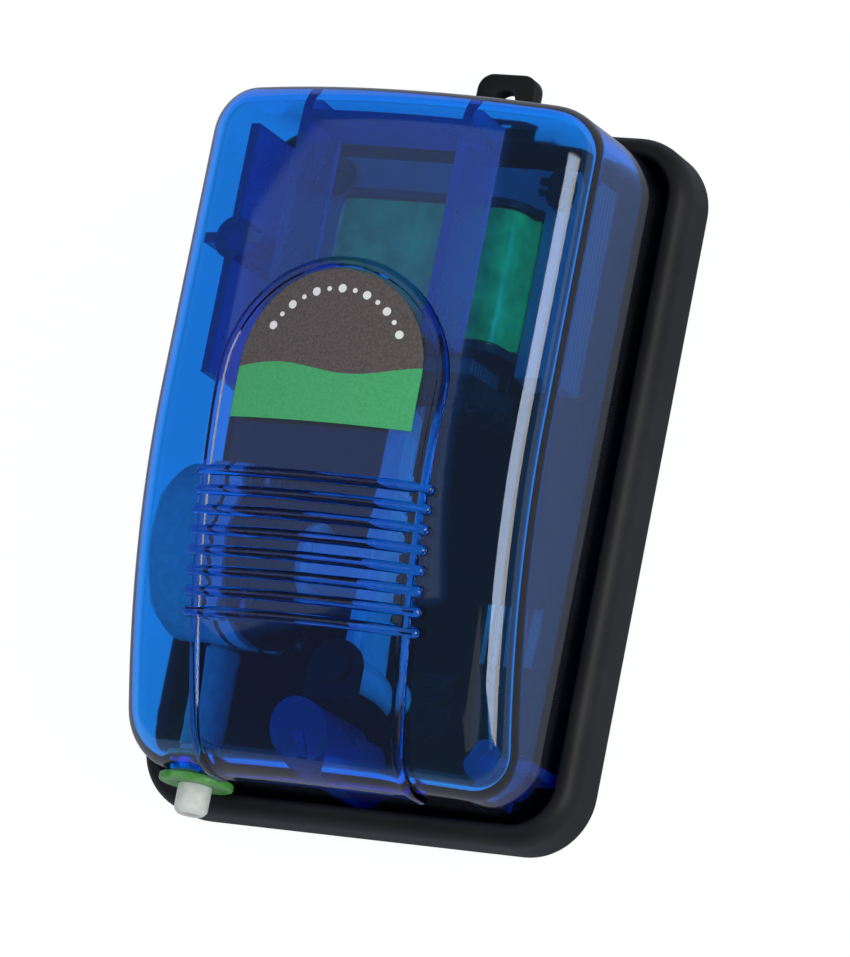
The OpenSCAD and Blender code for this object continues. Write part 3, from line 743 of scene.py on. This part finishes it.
# Green ABS, satin; nylon and silicone let a little light in, so they look milky.
green_abs = dressed("green moulded ABS", "#3c8f30", "#60aa4e", 0.38, 700, 0.00002)
nylon = dressed("milky nylon", "#ccd1cb", "#e0e4dd", 0.42, 900, 0.00002,
                **{"Subsurface Weight": 0.25, "Subsurface Scale": 0.0015})
silicone = dressed("translucent silicone", "#a9aeaa", "#c3c8c4", 0.3, 500, 0.00002)
for piece, mat, node_name, slot_name in (
        (grommet, green_abs, "outlet_grommet", "green_plastic"),
        (nozzle, nylon, "outlet_nozzle", "milky_plastic"),
        (hose, silicone, "outlet_hose", "clear_tube")):
    piece.data.materials.append(mat)
    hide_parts(node_name)


# ---------------------------------------------------------------- coil
# Enamelled copper on a dark nylon bobbin, wrapped in green polyester tape that is
# slightly creased and swollen where the winding is fullest.
def wrapped_tape():
    """A soft square sleeve round the winding, creased by seeded waves."""
    rng = random.Random(7)
    waves = [(rng.uniform(0.35, 1.1), rng.uniform(-0.9, 0.9), rng.uniform(0, 6.28), rng.uniform(0.02, 0.06))
             for k in range(9)]
    line, half = outline(14.35, 9.85, 3.2, 14, 10, 18)
    inner, half = outline(14.17, 9.67, 3.0, 14, 10, 18)
    n = len(line)
    steps = 34
    points = []
    for j in range(steps + 1):
        y = 15.5 + 19.4 * j / steps
        swell = 0.2 * math.sin(math.pi * j / steps) ** 0.6
        edge = min(j, steps - j)
        tuck = 0.1 * math.exp(-edge * 0.8)
        run = 0.0
        for i, (x, z) in enumerate(line):
            run += math.hypot(x - line[i - 1][0], z - line[i - 1][1])
            crease = sum(a * math.sin(f * run + g * y + p) for f, g, p, a in waves)
            s = swell + crease * 0.6 - tuck
            size = math.hypot(x, z)
            points.append((3 + x + x / size * s, y, 16 + z + z / size * s))
    for j in (steps, 0):
        y = 15.5 + 19.4 * j / steps
        points += [(3 + x * 0.985, y, 16 + z * 0.98) for x, z in inner]
    faces = []
    for j in range(steps):
        for i in range(n):
            p, q = j * n + i, j * n + (i + 1) % n
            faces.append((p, q, q + n, p + n))
    top, back_ring = steps * n, (steps + 1) * n
    for i in range(n):
        p, q = i, (i + 1) % n
        faces.append((top + p, top + q, back_ring + q, back_ring + p))
        faces.append((back_ring + p, back_ring + q, back_ring + n + q, back_ring + n + p))
        faces.append((back_ring + n + p, back_ring + n + q, q, p))
    return points, faces


tape = shape("coil_wrap", *wrapped_tape())
tape_film = dressed("green polyester tape", "#30cc4c", "#5cff74", 0.3, 260, 0.00008,
                    **{"Coat Weight": 0.3, "Coat Roughness": 0.2})
tape.data.materials.append(tape_film)
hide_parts("coil_tape")

copper = dressed("enamelled copper wire", "#8a4a22", "#b5672f", 0.28, 2000, 0.00005, metal=1.0)
bobbin_nylon = dressed("black glass-filled nylon", "#1a1b1e", "#25262a", 0.5, 1200, 0.00003)

# ---------------------------------------------------------------- core, fittings and pump
# Varnished silicon-steel sheets, zinc-plated screws and bracket, ferrite magnets, an
# acetal arm, and the black parts of the pump chamber.
core_steel = blank("varnished silicon steel stack")
place = add(core_steel, "ShaderNodeTexCoord")
sheets = add(core_steel, "ShaderNodeTexWave", {"Scale": 320.0, "Distortion": 0.4, "Detail": 2.0},
             {"Vector": (place, "Object")}, bands_direction="Z")
ramp = add(core_steel, "ShaderNodeValToRGB", None, {"Fac": (sheets, "Fac")})
ramp.color_ramp.elements[0].color = linear("#7c838b")
ramp.color_ramp.elements[1].color = linear("#b4bac1")
relief = add(core_steel, "ShaderNodeBump", {"Strength": 0.4, "Distance": 0.00005},
             {"Height": (sheets, "Fac")})
bsdf = add(core_steel, "ShaderNodeBsdfPrincipled", {"Roughness": 0.45, "Metallic": 0.3},
           {"Base Color": (ramp, "Color"), "Normal": (relief, "Normal")})
add(core_steel, "ShaderNodeOutputMaterial", None, {"Surface": (bsdf, 0)})

zinc = dressed("zinc-plated steel", "#8e9297", "#b9bdc1", 0.3, 900, 0.00002, metal=1.0)
dark_abs = dressed("black spark-eroded ABS", "#070809", "#0c0d0f", 0.6, 1500, 0.00002,
                   **{"Specular IOR Level": 0.12})
black_steel = dressed("black-oxide steel", "#121316", "#1f2024", 0.42, 900, 0.00002, metal=0.6)
acetal = dressed("white acetal", "#ecebe6", "#fbfaf6", 0.4, 600, 0.00002)
ferrite = dressed("sintered ferrite", "#26272a", "#3b3c40", 0.55, 1800, 0.00004)
nitrile = dressed("soft black nitrile", "#0c0c0e", "#141416", 0.6, 1500, 0.00003,
                  **{"Specular IOR Level": 0.15})
# The valve box's pale colour is a painted reflection: it stands in for the azure gleam of the lamps along
# the glossy black chamber.
pale_abs_painted_reflection = dressed("pale ABS with painted reflection", "#d2d4d4", "#e6e8e8", 0.4, 900, 0.00002)
felt = dressed("pressed wool felt", "#bdb9ac", "#dedace", 0.95, 1400, 0.0002)
finishes = {
    "base_plate": dark_abs, "case_screws": zinc, "intake_felt": felt, "cord_grommet": nitrile,
    "core_laminations": core_steel, "core_screws": black_steel, "coil_bobbin": bobbin_nylon,
    "coil_winding": copper, "swing_arm": acetal, "magnet_yoke": zinc, "arm_magnets": ferrite,
    "pivot_bracket": black_steel, "bracket_screws": black_steel, "pivot_pin": black_steel,
    "diaphragm_discs": acetal, "diaphragm_screw": zinc, "diaphragm_ring": dark_abs,
    # the valve box takes the pale colour that is a painted reflection
    "valve_box": pale_abs_painted_reflection, "valve_gasket": nitrile, "valve_plate": acetal,
    "inlet_flap": nitrile, "outlet_flap": nitrile, "chamber_screws": zinc,
}
for node_name, mat in finishes.items():
    obj = frame["nodes"][node_name]
    obj.data.materials.clear()
    obj.data.materials.append(mat)


# ---------------------------------------------------------------- diaphragm
# A moulded nitrile cup. Its rim is clamped between ring and valve box, its middle is clamped to the arm,
# and a thin rolled wall runs between them. It is one fixed mesh, attached to no body.
PUMP_Y, PUMP_Z = -17, 18
cup, sides = turned([
    (1.35, -8.5), (6.5, -8.5), (7.4, -8.7), (8.1, -9.0), (8.7, -9.55), (9.2, -10.3), (9.45, -11.1),
    (9.6, -12.0), (9.6, -15.2), (11.9, -15.2), (11.9, -13.7), (10.6, -13.7), (10.6, -12.0),
    (10.4, -10.85), (10.1, -9.8), (9.5, -8.85), (8.7, -8.1), (7.7, -7.7), (6.6, -7.5), (1.35, -7.5)])
diaphragm = shape("rubber_diaphragm", [(h, PUMP_Y + a, PUMP_Z + b) for a, b, h in cup], sides, body=None)
diaphragm.data.materials.append(nitrile)
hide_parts("diaphragm")
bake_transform(diaphragm)
